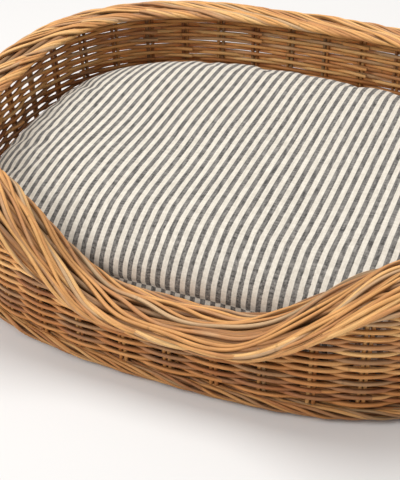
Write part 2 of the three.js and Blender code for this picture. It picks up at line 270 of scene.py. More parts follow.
def bend_canes(name, canes, finish, sides=8):
    """Makes one piece of canes, each given as points (mm), radius (mm), shade, closed, and the way its
    open side faces, which sets the painted shade in its crevices; the arrow is shorter where the cane
    lies deep, which paints it darker as painted shade."""
    points, edges, radii, shades, lengths, facings = [], [], [], [], [], []
    for path, radius, shade, closed, facing in canes:
        path = np.asarray(path)
        start, count = len(points), len(path)
        steps = np.linalg.norm(np.diff(path, axis=0), axis=1)
        points.extend(path * MM)
        edges.extend((start + i, start + i + 1) for i in range(count - 1))
        if closed:
            edges.append((start + count - 1, start))
        radii.extend(np.broadcast_to(np.asarray(radius) * MM, count))
        shades.extend([shade] * count)
        facings.append(np.broadcast_to(np.asarray(facing, dtype=float), (count, 3)))
        lengths.extend(np.concatenate(([0.0], np.cumsum(steps))) * MM)
    lines = bpy.data.meshes.new(name + " lines")
    lines.from_pydata([tuple(p) for p in points], edges, [])
    for label, values in (("radius_m", radii), ("shade", shades), ("along", lengths)):
        lines.attributes.new(label, "FLOAT", "POINT").data.foreach_set("value", values)
    open_side_layer = lines.attributes.new("facing", "FLOAT_VECTOR", "POINT")
    open_side_layer.data.foreach_set("vector", np.concatenate(facings).reshape(-1))
    piece = bpy.data.objects.new(name, lines)
    bpy.context.collection.objects.link(piece)
    bend = piece.modifiers.new("bend", "NODES")
    bend.node_group = cane_tree
    bend[cane_sides] = sides
    bend[cane_finish] = finish
    graph = bpy.context.evaluated_depsgraph_get()
    mesh = bpy.data.meshes.new_from_object(
        piece.evaluated_get(graph), preserve_all_data_layers=True, depsgraph=graph
    )
    mesh.name = name
    mesh.shade_smooth()
    piece.modifiers.clear()
    piece.data = mesh
    return piece


STICK_COUNT = 9
STICK_RADIUS = 2.3
STICK_MIDDLE = 6.2
draw = random.Random(11)
for i in range(STICK_COUNT):
    node = f"base_stick_{i + 1:02d}"
    low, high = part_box(node)
    x = (low[0] + high[0]) / 2 / MM
    ends = np.linspace(low[1] / MM, high[1] / MM, 24)
    wander = draw.uniform(0, 6)
    path = [(x + 0.5 * math.sin(y * 0.02 + wander), y, STICK_MIDDLE) for y in ends]
    rib = (path, STICK_RADIUS, draw.random(), False, (0, 0, 1))
    stick = bend_canes(f"base_rib_{i + 1:02d}", [rib], brown_rattan, 12)
    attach(stick, "basket")
    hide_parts(node)


# ---------------------------------------------------------------- base mat
# The floor of the basket is thinner cane woven over one stick and under the next, side to
# side, packed close. Each cane is cut where it meets the foot border.
OUTLINE_POWER = 2.735
HALF_LENGTH, HALF_WIDTH = 302.0, 246.0
turn = np.linspace(0, 2 * math.pi, 40001)[:-1]


def rounded(value):
    return np.sign(value) * np.abs(value) ** (2 / OUTLINE_POWER)


outline_x = HALF_LENGTH * rounded(np.sin(turn))
outline_y = -HALF_WIDTH * rounded(np.cos(turn))
outline_gap = np.hypot(np.roll(outline_x, -1) - outline_x, np.roll(outline_y, -1) - outline_y)
outline_run = np.concatenate(([0.0], np.cumsum(outline_gap)))
PERIMETER = outline_run[-1]
# the outline again, at even steps, with the direction that faces out of the basket
even_run = np.linspace(0, PERIMETER, 3653)[:-1]
even_x = np.interp(even_run, outline_run[:-1], outline_x)
even_y = np.interp(even_run, outline_run[:-1], outline_y)
forward_x = np.roll(even_x, -4) - np.roll(even_x, 4)
forward_y = np.roll(even_y, -4) - np.roll(even_y, 4)
forward = np.hypot(forward_x, forward_y)
out_x, out_y = forward_y / forward, -forward_x / forward


def on_wall(along, out):
    """A point at a distance along the foot's outline from the front middle, and out from it."""
    x, y, nx, ny = (
        np.interp(along, even_run, values, period=PERIMETER)
        for values in (even_x, even_y, out_x, out_y)
    )
    return x + nx * out, y + ny * out, nx, ny


MAT_CANE_RADIUS = 1.9
MAT_PITCH = 4.1
MAT_SHORTEST = 30.0
STICK_SPACING = 52.0
low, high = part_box("base_mat")
mat_half = (high[0] - low[0]) / 2 / MM, (high[1] - low[1]) / 2 / MM
draw = random.Random(12)
canes = []
row_count = int(2 * mat_half[1] / MAT_PITCH) - 1
for row in range(row_count):
    y = (row - (row_count - 1) / 2) * MAT_PITCH
    reach = mat_half[0] * (1 - abs(y / mat_half[1]) ** OUTLINE_POWER) ** (1 / OUTLINE_POWER)
    if reach < MAT_SHORTEST:
        continue
    x = np.linspace(-reach, reach, max(8, int(reach / 6.5)))
    swing = (STICK_RADIUS + MAT_CANE_RADIUS) * np.cos(math.pi * x / STICK_SPACING) * (-1) ** row
    height = STICK_MIDDLE + swing
    path = np.stack([x, np.full_like(x, y), height], axis=1)
    canes.append((path, MAT_CANE_RADIUS, draw.random(), False, (0, 0, 1)))
mat = bend_canes("base_weave", canes, brown_rattan, 6)
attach(mat, "basket")
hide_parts("base_mat")


# ---------------------------------------------------------------- stakes
# Forty-two pairs of upright canes are the ribs of the wall. Each pair rises out of the foot
# border, leans outwards a little and ends inside the rim border.
RIM_HIGH, RIM_LOW = 153.0, 75.0
ENTRANCE_HALF, ENTRANCE_SLOPE = 52.0, 159.0
STAKES = 42
SPACING = PERIMETER / STAKES
FLARE = 0.07
STAKE_RADIUS = 2.1
PAIR_HALF_GAP = 2.4
WALL_OUT = -9.0  # the middle of the wall at the floor, out from the foot's outline
STAKE_FROM, STAKE_UNDER_RIM = 7.0, 12.0


def rim_top(along):
    """Height of the rim's top: low across the entrance, easing up to full height beside it."""
    away = np.abs((np.asarray(along, dtype=float) + PERIMETER / 2) % PERIMETER - PERIMETER / 2)
    share = np.clip((away - ENTRANCE_HALF) / ENTRANCE_SLOPE, 0, 1)
    return RIM_LOW + (RIM_HIGH - RIM_LOW) * share * share * (3 - 2 * share)


draw = random.Random(21)
for k in range(STAKES // 2):
    canes = []
    for i in (2 * k, 2 * k + 1):
        for side in (-1, 1):
            top = float(rim_top(i * SPACING)) - STAKE_UNDER_RIM
            heights = np.linspace(STAKE_FROM, top, 18)
            lean = draw.uniform(-1.2, 1.2)
            along = (
                i * SPACING
                + side * PAIR_HALF_GAP
                + lean * (heights / 150)
                + 0.4 * np.sin(heights / 17 + side)
            )
            x, y, face_x, face_y = on_wall(along, WALL_OUT + FLARE * heights)
            facing = np.stack([face_x, face_y, np.zeros_like(x)], axis=1)
            radius = STAKE_RADIUS * draw.uniform(0.93, 1.04)
            canes.append((np.stack([x, y, heights], axis=1), radius, draw.random(), False, facing))
    pair = bend_canes(f"stakes_{k + 1:02d}", canes, brown_rattan, 8)
    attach(pair, "basket")
    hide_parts(f"stake_frame_{k + 1:02d}")


# ---------------------------------------------------------------- foot border
# The thick rope of cane that the basket stands on. Three canes start at each pair of stakes,
# wrap three quarters of the way round a core of plain canes and tuck under the next ones.
FOOT_MIDDLE_OUT, FOOT_MIDDLE_UP = -6.8, 8.1
FOOT_HALF_OUT, FOOT_HALF_UP = 7.0, 5.9
FOOT_CANE_RADIUS = 1.65
FOOT_RUN = 200.0
FOOT_WRAP_FROM, FOOT_WRAP = 150.0, 262.0
FOOT_CORE = ((-4.5, 5.6), (-10.5, 5.6), (-4.8, 10.0), (-10.5, 10.0), (-13.5, 7.6))
FOOT_CORE_RADIUS = 2.6
draw = random.Random(31)
canes = []
for i in range(3 * STAKES):
    start = (i // 3) * SPACING + (i % 3) * 12.0 + draw.uniform(-2, 2)
    share = np.linspace(0, 1, 50)
    length = FOOT_RUN * draw.uniform(0.82, 1.18)
    angle = np.radians(FOOT_WRAP_FROM - FOOT_WRAP * share + draw.uniform(-9, 9))
    dive = 2.4 * (np.exp(-share * 9) + np.exp(-(1 - share) * 9))
    bulge = 1.1 * np.sin(share * 15 + i % 3 * 0.5) - 0.8
    angle = angle + 0.2 * np.cos(share * 15)
    out = FOOT_MIDDLE_OUT + (FOOT_HALF_OUT - dive + bulge) * np.cos(angle)
    up = FOOT_MIDDLE_UP + (FOOT_HALF_UP - dive + bulge) * np.sin(angle)
    up = np.maximum(up, FOOT_CANE_RADIUS + 0.05)
    x, y, face_x, face_y = on_wall(start + length * share, out)
    facing = np.stack([face_x * np.cos(angle), face_y * np.cos(angle), np.sin(angle)], axis=1)
    radius = FOOT_CANE_RADIUS * draw.uniform(0.84, 1.08) * (1.04 - 0.2 * share)
    canes.append((np.stack([x, y, up], axis=1), radius, draw.random(), False, facing))
# the foot's core canes are given brown shades and a short facing arrow, which paint them darker: painted
# shade for lying inside the rope
for out, up in FOOT_CORE:
    along = np.linspace(0, PERIMETER, 331)[:-1]
    x, y, _, _ = on_wall(along, out)
    path = np.stack([x, y, np.full_like(x, up)], axis=1)
    canes.append((path, FOOT_CORE_RADIUS, 0.2 + draw.random() * 0.1, True, (0, 0, 0.4)))
foot = bend_canes("foot_rope", canes, brown_rattan, 8)
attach(foot, "basket")
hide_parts("foot_border")


# ---------------------------------------------------------------- wall weave
# Single canes are worked round the wall, in front of one pair of stakes and behind the next,
# and each row does the opposite of the one below. New canes start behind a stake.
# two copies of one cane colour for the wall, darker and paler: the darker copy in the lower rows is
# partly painted shade, and the paler copy in the upper rows partly painted light
amber_rattan_and_shade = make_cane_finish(
    "amber rattan and painted shade",
    grey=(0.45, 0.245, 0.112),
    brown=(0.37, 0.127, 0.038),
    honey=(0.58, 0.237, 0.066),
    straw=(0.79, 0.405, 0.145),
    streaks=1.9,
)
pale_rattan_and_light = make_cane_finish(
    "pale rattan and painted light",
    grey=(0.68, 0.42, 0.215),
    brown=(0.62, 0.265, 0.092),
    honey=(0.88, 0.44, 0.145),
    straw=(0.95, 0.58, 0.235),
    streaks=1.9,
)
WEAVER_RADIUS = 2.2
BACK_THICKER = 0.09
ROW_PITCH = 4.35
ROW_FIRST = 18.3
COURSES = 12
UPPER_COURSES = 6  # from here up the wall is worked in paler cane, partly real and partly painted light; the darker rows below are partly painted shade
STEPS_PER_STAKE = 12
SWING = STAKE_RADIUS + WEAVER_RADIUS - 0.8
LEVEL_LIFT, LEAN_LIFT = -0.25, -1.45
TUCK_DEPTH, TUCK_LENGTH = 3.0, 14.0
draw = random.Random(41)


def row_limits(height):
    """How far along the wall a row runs before the rim border closes down on it."""
    along = np.linspace(0, PERIMETER / 2, 1800)
    open_there = rim_top(along) - 12.5 > height
    return 0.0 if open_there[0] else float(along[np.argmax(open_there)])


for course in range(COURSES):
    canes = []
    for row in range(2 * course + 2 if course else 0, 2 * course + 4):
        height = ROW_FIRST + row * ROW_PITCH
        clear = row_limits(height)
        first = clear if clear else draw.randint(0, STAKES - 1) * SPACING
        last = PERIMETER - clear if clear else first + PERIMETER
        start = first
        while start < last - 1:
            stake = int(start / SPACING) + draw.randint(11, 26)
            stake += (stake + row + 1) % 2  # a cane ends on the inside of a stake
            end = min(stake * SPACING, last)
            if last - end < 6 * SPACING:
                end = last
            head = 0.0 if start == first and clear else 9.0
            tail = 0.0 if end == last and clear else 9.0
            count = max(6, int((end - start) / SPACING * STEPS_PER_STAKE))
            along = np.linspace(start - head, end + tail, count)
            swing = np.cos(math.pi * along / SPACING) * (-1) ** row
            swing = np.sign(swing) * np.abs(swing) ** 0.75
            tuck = TUCK_DEPTH * np.exp(-((along - start + head) / TUCK_LENGTH) ** 2) if head else 0.0
            phases = [draw.uniform(0, 6.3) for _ in range(3)]
            ripple = (
                0.28 * np.sin(along / 31 + phases[0])
                + 0.22 * np.sin(along / 67 + phases[1])
                + 0.15 * np.sin(along / 13 + phases[2])
            )
            x, y, face_x, face_y = on_wall(along, WALL_OUT + FLARE * height + SWING * swing - tuck)
            up = height + ripple + (LEVEL_LIFT + LEAN_LIFT * face_y) * swing
            facing = np.stack([face_x, face_y, np.zeros_like(x)], axis=1)
            radius = WEAVER_RADIUS * draw.uniform(0.94, 1.06)
            radius = radius * (1 + 0.04 * np.sin(along / 47 + phases[0]))
            radius = radius * (1 + BACK_THICKER * face_y)
            canes.append((np.stack([x, y, up], axis=1), radius, draw.random(), False, facing))
            start = end
    # lower rows take the darker copy, partly painted shade; upper rows take the paler one, partly
    # painted light
    finish = amber_rattan_and_shade if course < UPPER_COURSES else pale_rattan_and_light
    weave = bend_canes(f"weave_rows_{course + 1:02d}", canes, finish, 8)
    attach(weave, "basket")
    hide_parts(f"weave_course_{course + 1:02d}")


# ---------------------------------------------------------------- rim border
# The broad flat plait on top of the wall. At each pair of stakes three canes are laid down
# together, run across the rim over and under their neighbours, and tuck in on its other side.
# Shorter canes and a core of plain ones fill it underneath.
honey_rattan = make_cane_finish(
    "honey rattan",
    grey=(0.58, 0.375, 0.20),
    brown=(0.52, 0.225, 0.08),
    honey=(0.74, 0.372, 0.122),
    straw=(0.84, 0.50, 0.20),
    streaks=1.9,
)
RIM_TILT = math.radians(9)
RIM_LEAN = math.radians(8)
RIM_HALF_WIDTH, RIM_HALF_HEIGHT = 27.0, 11.0
RIM_MIDDLE_DROP = 11.66
RIM_MIDDLE_OUT = -24.0
RIM_CANE_RADIUS = 2.0
RIM_WRAP = 104.0
FILLING_DEPTH = 5.2
RIM_CORE_DEPTH, RIM_CORE_RADIUS = 6.9, 2.9
draw = random.Random(51)


def on_rim(along, angle, sink):
    """A point on the rim's section: angle 0 is its outer edge, 90 its top, 180 its inner edge."""
    top = rim_top(along)
    beside = (np.asarray(along) + PERIMETER / 2) % PERIMETER - PERIMETER / 2
    tilt = RIM_TILT + RIM_LEAN * np.exp(-(((beside - 190) / 90) ** 2))
    across = (RIM_HALF_WIDTH - RIM_CANE_RADIUS - sink) * np.cos(angle)
    above = (RIM_HALF_HEIGHT - RIM_CANE_RADIUS - sink * 0.8) * np.sin(angle)
    out = RIM_MIDDLE_OUT + FLARE * top + across * np.cos(tilt) + above * np.sin(tilt)
    up = top - RIM_MIDDLE_DROP - across * np.sin(tilt) + above * np.cos(tilt)
    x, y, _, _ = on_wall(along, out)
    return np.stack([x, y, up], axis=1)


def rim_facing(along, angle, reach):
    """The arrow straight out of the rim's section there, of the given length; a shorter arrow paints the
    cane darker, as painted shade.
    """
    out, up = np.cos(angle) / RIM_HALF_WIDTH, np.sin(angle) / RIM_HALF_HEIGHT
    size = np.hypot(out, up) / reach
    out, up = out / size, up / size
    level = out * math.cos(RIM_TILT) + up * math.sin(RIM_TILT)
    rise = up * math.cos(RIM_TILT) - out * math.sin(RIM_TILT)
    _, _, face_x, face_y = on_wall(along, 0.0)
    return np.stack([face_x * level, face_y * level, rise], axis=1)


MEETING = 0.27 * PERIMETER
RUN = 285.0
STEP = 6.0
BUNDLE_STEP = 12.5
CROSSED = 1.28  # a cane is under the rim when its share across is more than this, either way
TWIST = 90.0  # each bundle goes over and under its neighbours once in this length


def drift(along):
    """How a cane moves across the rim: 1 outwards, -1 inwards. The plait is worked both ways
    from the entrance, where it runs level, and the two ends meet at the right end."""
    past = (np.asarray(along) - MEETING) % PERIMETER
    return np.tanh(past / 70) * np.tanh((PERIMETER - MEETING + 25 - past) / 70)


def lay_across(start, share_in, pace, limit):
    """Follows the drift from one place on the rim until the cane has crossed it."""
    places, shares = [start], [share_in]
    while abs(shares[-1]) <= CROSSED and len(places) < limit:
        places.append(places[-1] + STEP)
        shares.append(shares[-1] + float(drift(places[-1])) * pace * STEP)
    return np.array(places), np.array(shares)


canes = []
for bundle in range(STAKES):
    bundle_pace = 2.5 / RUN * draw.uniform(0.84, 1.2)
    for cane in range(3):
        start = bundle * SPACING + cane * BUNDLE_STEP + draw.uniform(-2.5, 2.5)
        pace = bundle_pace * draw.uniform(0.96, 1.04)
        along, across = lay_across(start, -1.27 if drift(start) > 0 else 1.27, pace, 90)
        if len(along) < 12:
            continue
        share = np.linspace(0, 1, len(along))
        twist = (along - start) * 2 * math.pi / TWIST + draw.uniform(-0.4, 0.4)
        across = across + 0.05 * np.cos(twist)
        sink = 3.8 * (np.exp(-share * 11) + np.exp(-(1 - share) * 11))
        sink = sink + 1.8 + 1.8 * np.sin(twist + cane * 0.4)
        radius = RIM_CANE_RADIUS * draw.uniform(0.86, 1.1) * (1.06 - 0.5 * share**5)
        angle = np.radians(90 - across * RIM_WRAP)
        # where a cane sinks under its neighbours its arrow is shortened, so it is painted darker there:
        # painted shade
        facing = rim_facing(along, angle, np.clip(1.1 - sink * 0.1, 0.4, 1.0))
        canes.append((on_rim(along, angle, sink), radius, draw.random(), False, facing))
# the filling under the plait is given brown shades and a short facing arrow, which paint it darker:
# painted shade for lying deep
for i in range(2 * STAKES):
    start = i * SPACING / 2 + draw.uniform(-8, 8)
    share = np.linspace(0, 1, 24)
    along = start + share * draw.uniform(130, 200)
    across = draw.uniform(-1.2, 1.2) + draw.uniform(-0.5, 0.5) * share
    sink = FILLING_DEPTH + 2.0 * (np.exp(-share * 9) + np.exp(-(1 - share) * 9))
    radius = RIM_CANE_RADIUS * draw.uniform(0.95, 1.25)
    angle = np.radians(90 - across * RIM_WRAP)
    facing = rim_facing(along, angle, 0.5)
    path = on_rim(along, angle, sink)
    canes.append((path, radius, 0.2 + draw.random() * 0.25, False, facing))
# the core is given brown shades and a very short facing arrow, which paint it darker: painted shade for
# lying deep
for degrees in range(0, 360, 30):
    along = np.linspace(0, PERIMETER, 201)[:-1]
    angle = np.full_like(along, math.radians(degrees))
    facing = rim_facing(along, angle, 0.3)
    path = on_rim(along, angle, RIM_CORE_DEPTH)
    canes.append((path, RIM_CORE_RADIUS, 0.2 + draw.random() * 0.1, True, facing))
rim = bend_canes("rim_plait", canes, honey_rattan, 8)
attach(rim, "basket")
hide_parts("rim_border")


# ---------------------------------------------------------------- cushion
# A soft filled pad in a striped cotton cover. The cover is two panels, a domed top and a flat
# bottom, sewn edge to edge in a plain seam that sits half way up the side.
SIDE_INSET, ENTRANCE_INSET = -32.0, -50.5
ENTRANCE_REACH = 150.0
CUSHION_FLOOR, CUSHION_SEAM, CUSHION_CROWN = 13.9, 64.5, 112.5
STRIPE_PITCH = 9.6


def make_cloth_weave():
    """Relief and light-and-dark of a plain weave, for cloth laid out on the cloth attribute."""
    tree = bpy.data.node_groups.new("plain weave", "ShaderNodeTree")
    tree.interface.new_socket("Thread", in_out="INPUT", socket_type="NodeSocketFloat")
    tree.interface.new_socket("Slub", in_out="OUTPUT", socket_type="NodeSocketFloat")
    tree.interface.new_socket("Relief", in_out="OUTPUT", socket_type="NodeSocketFloat")
    new = tree.nodes.new
    given, result = new("NodeGroupInput"), new("NodeGroupOutput")
    cloth = new("ShaderNodeAttribute")
    cloth.attribute_name = "cloth"
    split = new("ShaderNodeSeparateXYZ")
    tree.links.new(cloth.outputs["Vector"], split.inputs[0])
    number = sums_in(tree)
    across = number("SINE", number("DIVIDE", split.outputs["X"], given.outputs["Thread"]))
    down = number("SINE", number("DIVIDE", split.outputs["Y"], given.outputs["Thread"]))
    weave = number("MULTIPLY", across, down)
    stretch = new("ShaderNodeMapping")
    stretch.inputs["Scale"].default_value = (1.0, 0.16, 1.0)
    tree.links.new(cloth.outputs["Vector"], stretch.inputs["Vector"])
    slub = new("ShaderNodeTexNoise")
    slub.inputs["Scale"].default_value = 560.0
    slub.inputs["Detail"].default_value = 3.0
    tree.links.new(stretch.outputs[0], slub.inputs["Vector"])
    cross = new("ShaderNodeMapping")
    cross.inputs["Scale"].default_value = (0.2, 1.0, 1.0)
    tree.links.new(cloth.outputs["Vector"], cross.inputs["Vector"])
    weft = new("ShaderNodeTexNoise")
    weft.inputs["Scale"].default_value = 520.0
    weft.inputs["Detail"].default_value = 2.0
    tree.links.new(cross.outputs[0], weft.inputs["Vector"])
    warp_part = number("MULTIPLY", slub.outputs["Fac"], 0.6)
    weft_part = number("MULTIPLY", weft.outputs["Fac"], 0.4)
    both = number("ADD", warp_part, weft_part)
    tree.links.new(both, result.inputs["Slub"])
    tree.links.new(number("ADD", weave, both), result.inputs["Relief"])
    return tree


cloth_weave = make_cloth_weave()


def make_striped_cotton():
    """Cream and charcoal stripes, of equal width on the flat cloth that they are laid out on."""
    finish = bpy.data.materials.new("striped cotton")
    finish.use_nodes = True
    tree = finish.node_tree
    shader = tree.nodes["Principled BSDF"]
    new = tree.nodes.new
    weave = new("ShaderNodeGroup")
    weave.node_tree = cloth_weave
    weave.inputs["Thread"].default_value = 0.16 * MM
    cloth = new("ShaderNodeAttribute")
    cloth.attribute_name = "cloth"
    split = new("ShaderNodeSeparateXYZ")
    tree.links.new(cloth.outputs["Vector"], split.inputs[0])
    number = sums_in(tree)
    wobble = number("MULTIPLY", number("SUBTRACT", weave.outputs["Slub"], 0.5), 0.6 * MM)
    # the bottom panel is cut half a stripe out of step with the top one
    bottom = number("LESS_THAN", split.outputs["Z"], CUSHION_SEAM * MM)
    half_stripe = number("MULTIPLY", bottom, STRIPE_PITCH / 2 * MM)
    across = number("ADD", number("ADD", split.outputs["X"], wobble), half_stripe)
    stripe = number("FRACT", number("DIVIDE", across, STRIPE_PITCH * MM))
    edge = number("ABSOLUTE", number("SUBTRACT", stripe, 0.5))
    dark = new("ShaderNodeMapRange")
    dark.inputs["From Min"].default_value = 0.235
    dark.inputs["From Max"].default_value = 0.275
    tree.links.new(edge, dark.inputs["Value"])
    fleck = new("ShaderNodeMapRange")
    fleck.inputs["From Min"].default_value = 0.38
    fleck.inputs["From Max"].default_value = 0.65
    tree.links.new(weave.outputs["Slub"], fleck.inputs["Value"])
    heather = new("ShaderNodeMix")
    heather.data_type = "RGBA"
    heather.inputs[6].default_value = (0.075, 0.070, 0.066, 1.0)
    heather.inputs[7].default_value = (0.33, 0.31, 0.285, 1.0)
    tree.links.new(fleck.outputs[0], heather.inputs["Factor"])
    cream = new("ShaderNodeMix")
    cream.data_type = "RGBA"
    cream.inputs[6].default_value = (0.70, 0.64, 0.55, 1.0)
    cream.inputs[7].default_value = (0.86, 0.80, 0.70, 1.0)
    tree.links.new(fleck.outputs[0], cream.inputs["Factor"])
    both = new("ShaderNodeMix")
    both.data_type = "RGBA"
    tree.links.new(dark.outputs[0], both.inputs["Factor"])
    tree.links.new(cream.outputs[2], both.inputs[6])
    tree.links.new(heather.outputs[2], both.inputs[7])
    tree.links.new(both.outputs[2], shader.inputs["Base Color"])
    bump = new("ShaderNodeBump")
    bump.inputs["Strength"].default_value = 0.4
    bump.inputs["Distance"].default_value = 0.25 * MM
    wire(tree, weave, "Relief", bump, "Height")
    wire(tree, bump, "Normal", shader, "Normal")
    rough = number("ADD", 0.8, number("MULTIPLY", weave.outputs["Slub"], 0.15))
    tree.links.new(rough, shader.inputs["Roughness"])
    shader.inputs["Specular IOR Level"].default_value = 0.2
    shader.inputs["Sheen Weight"].default_value = 0.12
    shader.inputs["Sheen Roughness"].default_value = 0.4
    return finish


striped_cotton = make_striped_cotton()

# the cushion's edge seen from above, as a distance from the middle for each direction
entrance_away = np.abs((even_run + PERIMETER / 2) % PERIMETER - PERIMETER / 2)
squeeze = np.exp(-((entrance_away / ENTRANCE_REACH) ** 4))
edge_x, edge_y, _, _ = on_wall(even_run, SIDE_INSET + (ENTRANCE_INSET - SIDE_INSET) * squeeze)
edge_direction = np.arctan2(edge_y, edge_x)
edge_order = np.argsort(edge_direction)
edge_direction = edge_direction[edge_order]
edge_reach = np.hypot(edge_x, edge_y)[edge_order]


def edge_share(x, y):
    """0 in the middle of the cushion, 1 at its edge."""
    reach = np.interp(np.arctan2(y, x), edge_direction, edge_reach, period=2 * math.pi)
    return np.hypot(x, y) / reach


def crown_height(x, y):
    share = np.clip(edge_share(x, y), 0, 1)
    return CUSHION_SEAM + (CUSHION_CROWN - CUSHION_SEAM) * (1 - share**5) ** 0.4


def make_cushion_shell(name, swell):
    """A closed domed form: rings from the middle of the top, over the edge, to the bottom."""
    mesh = bmesh.new()
    around = np.linspace(0, 2 * math.pi, 193)[:-1]
    reach = np.interp(around, edge_direction, edge_reach, period=2 * math.pi) - (1 - swell) * 60
    top_shares = 1 - np.linspace(1, 0, 26)[:-1] ** 1.7
    rings = []
    for share in top_shares[1:]:
        up = CUSHION_SEAM + (CUSHION_CROWN - CUSHION_SEAM) * swell * (1 - share**5) ** 0.4
        rings.append((share, up))
    rings.append((1.0, CUSHION_SEAM))
    for share in (0.996, 0.988, 0.975, 0.955, 0.93, 0.9, 0.8, 0.6, 0.4, 0.2):
        up = CUSHION_SEAM - (CUSHION_SEAM - CUSHION_FLOOR) * (1 - share**24) ** 0.6
        rings.append((share, up))
    loops = []
    for share, up in rings:
        loops.append([
            mesh.verts.new((r * share * math.cos(a) * MM, r * share * math.sin(a) * MM, up * MM))
            for r, a in zip(reach, around)
        ])
    for upper, lower in zip(loops, loops[1:]):
        for i in range(len(around)):
            j = (i + 1) % len(around)
            mesh.faces.new((upper[i], lower[i], lower[j], upper[j]))
    crown = CUSHION_SEAM + (CUSHION_CROWN - CUSHION_SEAM) * swell
    for loop, up, flip in ((loops[0], crown, False), (loops[-1], CUSHION_FLOOR, True)):
        pole = mesh.verts.new((0, 0, up * MM))
        for i in range(len(around)):
            j = (i + 1) % len(around)
            mesh.faces.new((pole, loop[j], loop[i]) if flip else (pole, loop[i], loop[j]))
    bmesh.ops.recalc_face_normals(mesh, faces=mesh.faces)
    shell = bpy.data.meshes.new(name)
    mesh.to_mesh(shell)
    mesh.free()
    piece = bpy.data.objects.new(name, shell)
    bpy.context.collection.objects.link(piece)
    return piece


def take(piece):
    spots = np.empty(len(piece.data.vertices) * 3)
    piece.data.vertices.foreach_get("co", spots)
    return spots.reshape(-1, 3)


def give(piece, spots):
    piece.data.vertices.foreach_set("co", spots.reshape(-1))
    piece.data.update()


def apply_all(piece):
    """Leaves the piece as its modifiers show it, with none of them on it."""
    graph = bpy.context.evaluated_depsgraph_get()
    shaped = bpy.data.meshes.new_from_object(
        piece.evaluated_get(graph), preserve_all_data_layers=True, depsgraph=graph
    )
    piece.modifiers.clear()
    piece.data = shaped


VOXEL = 5.0
PUFF_FRAMES = 20
PUFF_LIMIT = 16.0
WRINKLE_SHARE, SWELL_SHARE = 0.5, 0.1
cushion = make_cushion_shell("cushion_cover", 0.985)
remesh = cushion.modifiers.new("remesh", "REMESH")
remesh.mode = "VOXEL"
remesh.voxel_size = VOXEL * MM
apply_all(cushion)

# where each spot of the cover is on the flat cloth, measured over the dome from its middle;
# the bottom panel takes the dome's measure too, so its stripes are too broad at the two ends
spots = take(cushion) / MM
steps = np.linspace(0, 1, 41)
laid = np.zeros_like(spots)
for axis in (0, 1):
    walk = spots[:, None, axis] * steps[None, :]
    other = np.repeat(spots[:, None, 1 - axis], len(steps), axis=1)
    x, y = (walk, other) if axis == 0 else (other, walk)
    rise = np.diff(crown_height(x, y), axis=1)
    stretch = np.hypot(np.diff(walk, axis=1), rise * 0.8).sum(axis=1)
    laid[:, axis] = np.sign(spots[:, axis]) * stretch
laid[:, 2] = spots[:, 2]
cloth_layer = cushion.data.attributes.new("cloth", "FLOAT_VECTOR", "POINT")
cloth_layer.data.foreach_set("vector", (laid * MM).reshape(-1))

puff = cushion.modifiers.new("puff", "CLOTH")
puff.settings.use_pressure = True
puff.settings.uniform_pressure_force = 4.0
puff.settings.effector_weights.gravity = 0.0
puff.settings.quality = 5
before = take(cushion)
for moment in range(1, PUFF_FRAMES + 1):
    bpy.context.scene.frame_set(moment)
apply_all(cushion)
move = take(cushion) - before
far = np.linalg.norm(move, axis=1, keepdims=True)
move = move * np.minimum(1.0, PUFF_LIMIT * MM / np.maximum(far, 1e-9))
# the wrinkles stay whole, and the general swelling is eased to what the wall allows
links = np.empty(len(cushion.data.edges) * 2, dtype=int)
cushion.data.edges.foreach_get("vertices", links)
links = links.reshape(-1, 2)
touching = np.bincount(links.ravel(), minlength=len(move))[:, None]
broad = move.copy()
for _ in range(60):
    total = np.zeros_like(broad)
    np.add.at(total, links[:, 0], broad[links[:, 1]])
    np.add.at(total, links[:, 1], broad[links[:, 0]])
    broad = total / touching
give(cushion, before + (move - broad) * WRINKLE_SHARE + broad * SWELL_SHARE)
bpy.context.scene.frame_set(1)
finer = cushion.modifiers.new("finer", "SUBSURF")
finer.levels = 1
finer.render_levels = 1
apply_all(cushion)

# soft dents over the top, and short puckers that run in from the seam
spots = take(cushion) / MM
share = edge_share(spots[:, 0], spots[:, 1])
direction = np.arctan2(spots[:, 1], spots[:, 0])
DENTS, DENT_DEPTH = 26, 0.28
PUCKERS, PUCKER_DEPTH = 9, 0.27
GROOVE_DEPTH, GROOVE_WIDTH = 2.0, 2.6
draw = random.Random(61)
dents = np.zeros(len(spots))
for _ in range(DENTS):
    a, b, c = draw.uniform(-0.045, 0.045), draw.uniform(-0.045, 0.045), draw.uniform(0, 6.3)
    dents += DENT_DEPTH * np.sin(a * spots[:, 0] + b * spots[:, 1] + c)
near_seam = np.exp(-(((spots[:, 2] - CUSHION_SEAM) / 26) ** 2))
near_seam = near_seam * np.clip((share - 0.75) / 0.2, 0, 1)
puckers = np.zeros(len(spots))
for _ in range(PUCKERS):
    waves, c = draw.randint(38, 92), draw.uniform(0, 6.3)
    puckers += PUCKER_DEPTH * np.sin(waves * direction + c + 0.02 * spots[:, 2])
inward = np.stack([-np.cos(direction), -np.sin(direction), np.zeros_like(direction)], axis=1)
spots += inward * (np.abs(puckers) * near_seam)[:, None]
spots[:, 2] += np.where(spots[:, 2] > CUSHION_SEAM + 12, dents * (1 - share**4), 0.0)
# the seam itself is a narrow groove between the two panels
groove = GROOVE_DEPTH * np.exp(-(((spots[:, 2] - CUSHION_SEAM) / GROOVE_WIDTH) ** 2)) * (share > 0.9)
spots += inward * groove[:, None]
# it is flat underneath, just clear of the woven floor, and never touches the wall
share = edge_share(spots[:, 0], spots[:, 1])
spots[:, :2] /= np.maximum(share, 1.0)[:, None]
spots[:, 2] = np.clip(spots[:, 2], CUSHION_FLOOR, CUSHION_CROWN + 1.5)
